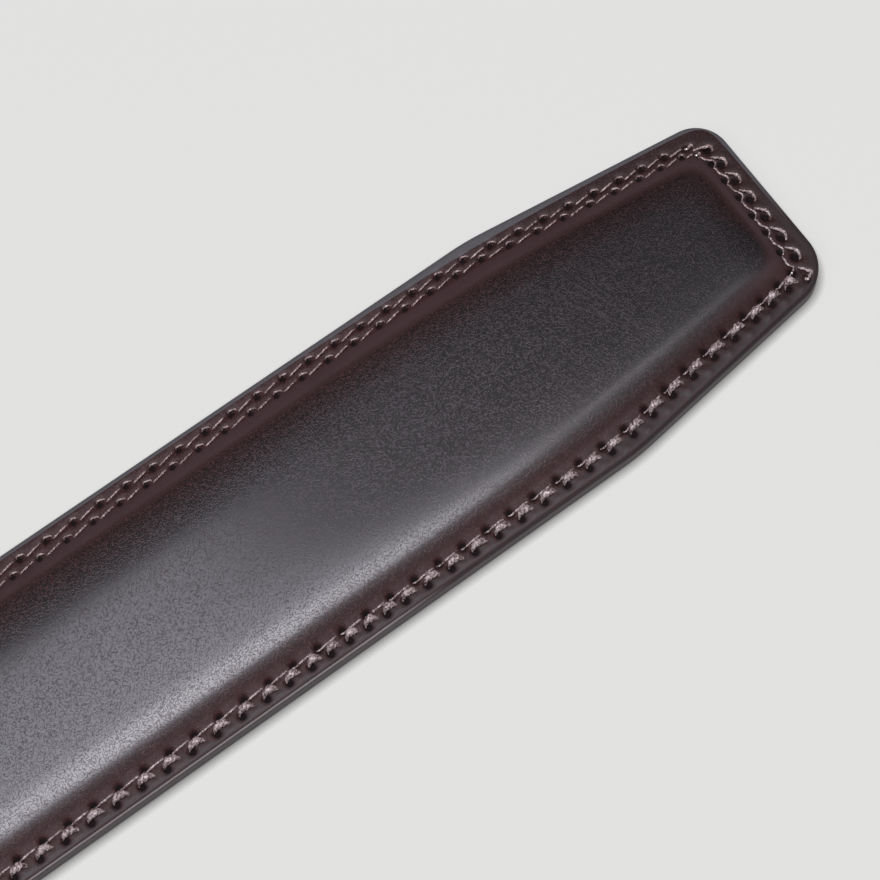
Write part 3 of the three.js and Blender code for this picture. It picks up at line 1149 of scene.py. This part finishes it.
def track_plastic():
    """Moulded black plastic with a fine matt texture."""
    material, tree, shader = new_material("track_plastic")
    speck = noise(tree, plan_place(tree), 6.0, 2.0)
    dark, light = (0.010, 0.0095, 0.010, 1), (0.016, 0.015, 0.016, 1)
    tree.links.new(mixed(tree, speck, dark, light), shader.inputs["Base Color"])
    tree.links.new(spread(tree, speck, 0.45, 0.6), shader.inputs["Roughness"])
    add_relief(tree, shader, speck, 0.25, 0.03)
    return material


def floor_material():
    """A pale matt floor whose even glow fades close to the belt, like a soft shadow."""
    material, tree, shader = new_material("floor")
    shader.inputs["Base Color"].default_value = (*[FLOOR_COLOUR / part for part in SOFTBOX_COLOUR], 1)
    inputs = {"Distance": FLOOR_SHADE_REACH, "Normal": FLOOR_SHADE_SIDE}
    openness = node(tree, "ShaderNodeAmbientOcclusion", inputs, samples=FLOOR_SHADE_SAMPLES).outputs["AO"]
    shader.inputs["Emission Color"].default_value = (1, 1, 1, 1)
    glow = times(tree, calc(tree, "POWER", openness, FLOOR_SHADE_POWER), FLOOR_GLOW)
    tree.links.new(glow, shader.inputs["Emission Strength"])
    shader.inputs["Roughness"].default_value = 0.9
    shader.inputs["Specular IOR Level"].default_value = 0.1
    return material


def dress(node_name, material):
    """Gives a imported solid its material."""
    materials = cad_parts[node_name].data.materials
    materials.clear()
    materials.append(material)


# The studio, in metres. A panel's place is measured from the strap's tip and its turn is in degrees; then
# come its length, its width, its radiance and its colour.

PANEL_HEIGHT = 1.0
SOFTBOX_COLOUR = (0.97, 0.96, 1.07)
STRIP_COLOUR = (1.0, 0.95, 1.0)
PANELS = [
    Panel("softbox", (-0.588, -0.092), 9.3, 1.5, 0.785, 5.9, SOFTBOX_COLOUR),
    Panel("strip_light", (0.01, -0.16), -35, 0.36, 0.13, 60.0, STRIP_COLOUR),
    Panel("tip_light", (0.375, -0.185), -48, 0.2, 0.1, 7.0, STRIP_COLOUR),
]
FILL = 0.1
FLOOR_HALF = 4.0
FLOOR_COLOUR = 0.08
FLOOR_GLOW = 0.578
FLOOR_SHADE_REACH = 0.0013
FLOOR_SHADE_SIDE = (0.15, 0.98, 0.10)
FLOOR_SHADE_SAMPLES = 8
FLOOR_SHADE_POWER = 2.0


def add_panel(panel):
    """A flat light over the strap."""
    light = bpy.data.lights.new(panel.name, "AREA")
    light.shape = "RECTANGLE"
    light.size = panel.length
    light.size_y = panel.width
    light.color = panel.colour
    light.energy = math.pi * panel.length * panel.width * panel.radiance
    lamp = bpy.data.objects.new(panel.name, light)
    lamp.location = (TIP_X * MM + panel.place[0], panel.place[1], PANEL_HEIGHT)
    lamp.rotation_euler = (0, 0, math.radians(panel.turn))
    lamp.visible_camera = False
    bpy.context.scene.collection.objects.link(lamp)


def make_studio():
    """A pale floor under the panels of light, with a weak even fill."""
    mesh = bpy.data.meshes.new("floor")
    floor_corners = [(x * FLOOR_HALF, y * FLOOR_HALF, 0) for x, y in ((-1, -1), (1, -1), (1, 1), (-1, 1))]
    mesh.from_pydata(floor_corners, [], [(0, 1, 2, 3)])
    mesh.materials.append(floor_material())
    floor = bpy.data.objects.new("floor", mesh)
    bpy.context.scene.collection.objects.link(floor)

    for panel in PANELS:
        add_panel(panel)

    world = bpy.data.worlds.new("studio")
    world.use_nodes = True
    world.node_tree.nodes["Background"].inputs["Color"].default_value = (1, 1, 1, 1)
    world.node_tree.nodes["Background"].inputs["Strength"].default_value = FILL
    bpy.context.scene.world = world
    bpy.context.scene.view_settings.view_transform = "Standard"


make_camera()
make_studio()
stitching = plan_stitching()
make_face(face_leather(), stitching)
make_backing(backing_leather())
thread = thread_material()
make_threads("stitches", stitching["fine"], FINE_THREAD_SIDES, thread)
make_threads("stitches_rest", stitching["plain"], PLAIN_THREAD_SIDES, thread)
make_hole_glints(glint_material())
make_far_hole_shades(stitching["holes"], hole_shade_material())
dress("buckle", buckle_metal())
dress("ratchet_track", track_plastic())
